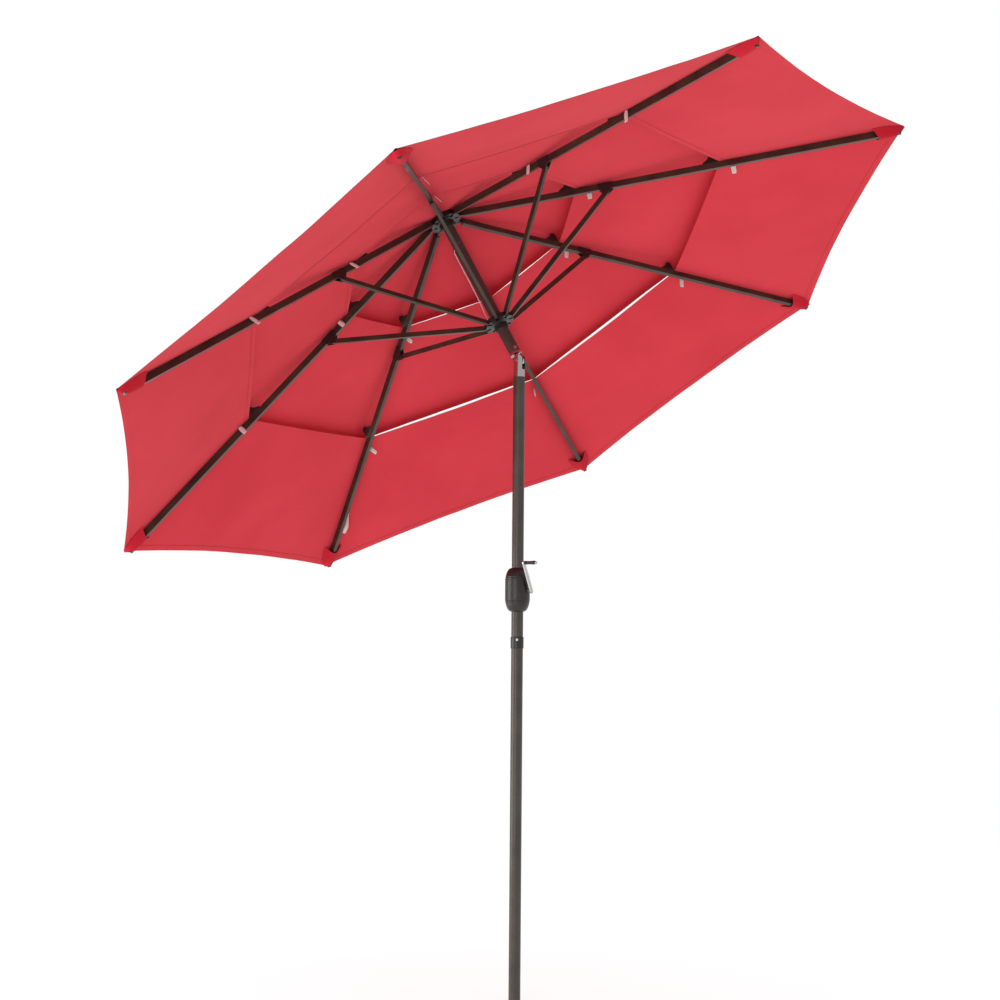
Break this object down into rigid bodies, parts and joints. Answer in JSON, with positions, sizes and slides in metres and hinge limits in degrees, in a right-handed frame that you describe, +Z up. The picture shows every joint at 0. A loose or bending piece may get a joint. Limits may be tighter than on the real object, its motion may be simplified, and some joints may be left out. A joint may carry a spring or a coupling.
{
  "type": "patio umbrella",
  "caption": "Three-tier tilting market umbrella on a two-piece pole with crank lift, folding ribs and struts.",
  "frame": {"origin": "centre of the pole's foot", "axes": "+Z up the pole; the canopy leans towards -X at rest and the crank points to +X"},
  "size_m": [2.2916, 2.6722, 2.7999],
  "materials": {
    "canopy_cloth": "matte woven polyester",
    "pole_paint": "satin bronze powder coat",
    "rib_paint": "satin bronze powder coat",
    "dark_plastic": "moulded, fine texture",
    "chrome": "polished",
    "bright_metal": "polished casting",
    "steel": "plain",
    "cord": "braided"
  },
  "bodies": {
    "pole": {"lower_pole": "pole_paint", "foot_plug": "dark_plastic", "upper_pole": "pole_paint", "pole_collar": "dark_plastic", "snap_spring": "steel", "crank_housing_front": "dark_plastic", "crank_housing_back": "dark_plastic", "tilt_fork": "chrome"},
    "snap_button": {"snap_button": "bright_metal"},
    "crank": {"cord_spool": "steel", "crank_arm": "bright_metal", "knob_pin": "bright_metal"},
    "knob": {"crank_knob": "dark_plastic"},
    "mast": {"tilt_pin": "steel", "tilt_ratchet": "steel", "tilt_tongue": "chrome", "upper_mast": "pole_paint", "top_hub": "dark_plastic", "hub_wire": "steel", "finial": "dark_plastic", "cord_pulley": "dark_plastic", "pulley_pin": "steel", "pull_cord": "cord", "button_spring": "steel"},
    "tilt_button": {"tilt_button": "bright_metal"},
    "runner": {"runner": "dark_plastic", "runner_wire": "steel"},
    "rib_1": {"rib_1": "rib_paint", "rib_fittings_1": "dark_plastic", "canopy_sector_1": "canopy_cloth"},
    "strut_1": {"strut_1": "rib_paint"},
    "rib_2": {"rib_2": "rib_paint", "rib_fittings_2": "dark_plastic", "canopy_sector_2": "canopy_cloth"},
    "strut_2": {"strut_2": "rib_paint"},
    "rib_3": {"rib_3": "rib_paint", "rib_fittings_3": "dark_plastic", "canopy_sector_3": "canopy_cloth"},
    "strut_3": {"strut_3": "rib_paint"},
    "rib_4": {"rib_4": "rib_paint", "rib_fittings_4": "dark_plastic", "canopy_sector_4": "canopy_cloth"},
    "strut_4": {"strut_4": "rib_paint"},
    "rib_5": {"rib_5": "rib_paint", "rib_fittings_5": "dark_plastic", "canopy_sector_5": "canopy_cloth"},
    "strut_5": {"strut_5": "rib_paint"},
    "rib_6": {"rib_6": "rib_paint", "rib_fittings_6": "dark_plastic", "canopy_sector_6": "canopy_cloth"},
    "strut_6": {"strut_6": "rib_paint"},
    "rib_7": {"rib_7": "rib_paint", "rib_fittings_7": "dark_plastic", "canopy_sector_7": "canopy_cloth"},
    "strut_7": {"strut_7": "rib_paint"},
    "rib_8": {"rib_8": "rib_paint", "rib_fittings_8": "dark_plastic", "canopy_sector_8": "canopy_cloth"},
    "strut_8": {"strut_8": "rib_paint"}
  },
  "joints": [
    {"name": "tilt", "type": "hinge", "parent": "pole", "child": "mast", "pos_m": [0, 0, 2.044], "axis": [0, 1, 0], "range_deg": [0, 31]},
    {"name": "rib_1_fold", "type": "hinge", "parent": "mast", "child": "rib_1", "pos_m": [-0.25897, 0.01722, 2.55571], "axis": [-0.328, 0.9239, -0.1971], "range_deg": [0, 48], "deforming": ["canopy_sector_1"]},
    {"name": "strut_1_fold", "type": "hinge", "parent": "rib_1", "child": "strut_1", "pos_m": [0.2119, 0.19692, 2.61441], "axis": [-0.328, 0.9239, -0.1971], "range_deg": [-134.39, 0]},
    {"name": "rib_2_fold", "type": "hinge", "parent": "mast", "child": "rib_2", "pos_m": [-0.27984, 0.04157, 2.54317], "axis": [-0.7919, 0.3827, -0.4758], "range_deg": [0, 48], "deforming": ["canopy_sector_2"]},
    {"name": "strut_2_fold", "type": "hinge", "parent": "rib_2", "child": "strut_2", "pos_m": [-0.02682, 0.47541, 2.47098], "axis": [-0.7919, 0.3827, -0.4758], "range_deg": [-134.39, 0]},
    {"name": "rib_3_fold", "type": "hinge", "parent": "mast", "child": "rib_3", "pos_m": [-0.30936, 0.04157, 2.52543], "axis": [-0.7919, -0.3827, -0.4758], "range_deg": [0, 48], "deforming": ["canopy_sector_3"]},
    {"name": "strut_3_fold", "type": "hinge", "parent": "rib_3", "child": "strut_3", "pos_m": [-0.36441, 0.47541, 2.26813], "axis": [-0.7919, -0.3827, -0.4758], "range_deg": [-134.39, 0]},
    {"name": "rib_4_fold", "type": "hinge", "parent": "mast", "child": "rib_4", "pos_m": [-0.33024, 0.01722, 2.51289], "axis": [-0.328, -0.9239, -0.1971], "range_deg": [0, 48], "deforming": ["canopy_sector_4"]},
    {"name": "strut_4_fold", "type": "hinge", "parent": "rib_4", "child": "strut_4", "pos_m": [-0.60312, 0.19692, 2.1247], "axis": [-0.328, -0.9239, -0.1971], "range_deg": [-134.39, 0]},
    {"name": "rib_5_fold", "type": "hinge", "parent": "mast", "child": "rib_5", "pos_m": [-0.33024, -0.01722, 2.51289], "axis": [0.328, -0.9239, 0.1971], "range_deg": [0, 48], "deforming": ["canopy_sector_5"]},
    {"name": "strut_5_fold", "type": "hinge", "parent": "rib_5", "child": "strut_5", "pos_m": [-0.60312, -0.19692, 2.1247], "axis": [0.328, -0.9239, 0.1971], "range_deg": [-134.39, 0]},
    {"name": "rib_6_fold", "type": "hinge", "parent": "mast", "child": "rib_6", "pos_m": [-0.30936, -0.04157, 2.52543], "axis": [0.7919, -0.3827, 0.4758], "range_deg": [0, 48], "deforming": ["canopy_sector_6"]},
    {"name": "strut_6_fold", "type": "hinge", "parent": "rib_6", "child": "strut_6", "pos_m": [-0.36441, -0.47541, 2.26813], "axis": [0.7919, -0.3827, 0.4758], "range_deg": [-134.39, 0]},
    {"name": "rib_7_fold", "type": "hinge", "parent": "mast", "child": "rib_7", "pos_m": [-0.27984, -0.04157, 2.54317], "axis": [0.7919, 0.3827, 0.4758], "range_deg": [0, 48], "deforming": ["canopy_sector_7"]},
    {"name": "strut_7_fold", "type": "hinge", "parent": "rib_7", "child": "strut_7", "pos_m": [-0.02682, -0.47541, 2.47098], "axis": [0.7919, 0.3827, 0.4758], "range_deg": [-134.39, 0]},
    {"name": "rib_8_fold", "type": "hinge", "parent": "mast", "child": "rib_8", "pos_m": [-0.25897, -0.01722, 2.55571], "axis": [0.328, 0.9239, 0.1971], "range_deg": [0, 48], "deforming": ["canopy_sector_8"]},
    {"name": "strut_8_fold", "type": "hinge", "parent": "rib_8", "child": "strut_8", "pos_m": [0.2119, -0.19692, 2.61441], "axis": [0.328, 0.9239, 0.1971], "range_deg": [-134.39, 0]},
    {"name": "runner_slide", "type": "slide", "parent": "mast", "child": "runner", "axis": [0.515, 0, -0.8572], "range_m": [0, 0.072]},
    {"name": "crank_turn", "type": "hinge", "parent": "pole", "child": "crank", "pos_m": [0, 0, 1.296], "axis": [1, 0, 0], "range_deg": [0, 2880.01]},
    {"name": "knob_spin", "type": "hinge", "parent": "crank", "child": "knob", "pos_m": [0.053, -0.04848, 1.38346], "axis": [1, 0, 0], "continuous": true},
    {"name": "tilt_button_press", "type": "slide", "parent": "mast", "child": "tilt_button", "axis": [-0.6566, 0.6428, -0.3945], "range_m": [0, 0.0015], "stiffness_N_per_m": 800, "springref_m": -0.001, "deforming": ["button_spring"]},
    {"name": "snap_button_press", "type": "slide", "parent": "pole", "child": "snap_button", "axis": [-0.5, 0.866, 0], "range_m": [0, 0.0056], "stiffness_N_per_m": 900, "springref_m": -0.002, "deforming": ["snap_spring"]}
  ],
  "couplings": [
    {"joint": "rib_1_fold", "follows": "runner_slide", "rad_per_m": 11.636},
    {"joint": "strut_1_fold", "follows": "runner_slide", "rad_per_m": -32.575},
    {"joint": "rib_2_fold", "follows": "runner_slide", "rad_per_m": 11.636},
    {"joint": "strut_2_fold", "follows": "runner_slide", "rad_per_m": -32.575},
    {"joint": "rib_3_fold", "follows": "runner_slide", "rad_per_m": 11.636},
    {"joint": "strut_3_fold", "follows": "runner_slide", "rad_per_m": -32.575},
    {"joint": "rib_4_fold", "follows": "runner_slide", "rad_per_m": 11.636},
    {"joint": "strut_4_fold", "follows": "runner_slide", "rad_per_m": -32.575},
    {"joint": "rib_5_fold", "follows": "runner_slide", "rad_per_m": 11.636},
    {"joint": "strut_5_fold", "follows": "runner_slide", "rad_per_m": -32.575},
    {"joint": "rib_6_fold", "follows": "runner_slide", "rad_per_m": 11.636},
    {"joint": "strut_6_fold", "follows": "runner_slide", "rad_per_m": -32.575},
    {"joint": "rib_7_fold", "follows": "runner_slide", "rad_per_m": 11.636},
    {"joint": "strut_7_fold", "follows": "runner_slide", "rad_per_m": -32.575},
    {"joint": "rib_8_fold", "follows": "runner_slide", "rad_per_m": 11.636},
    {"joint": "strut_8_fold", "follows": "runner_slide", "rad_per_m": -32.575},
    {"joint": "crank_turn", "follows": "runner_slide", "rad_per_m": 698.13}
  ]
}
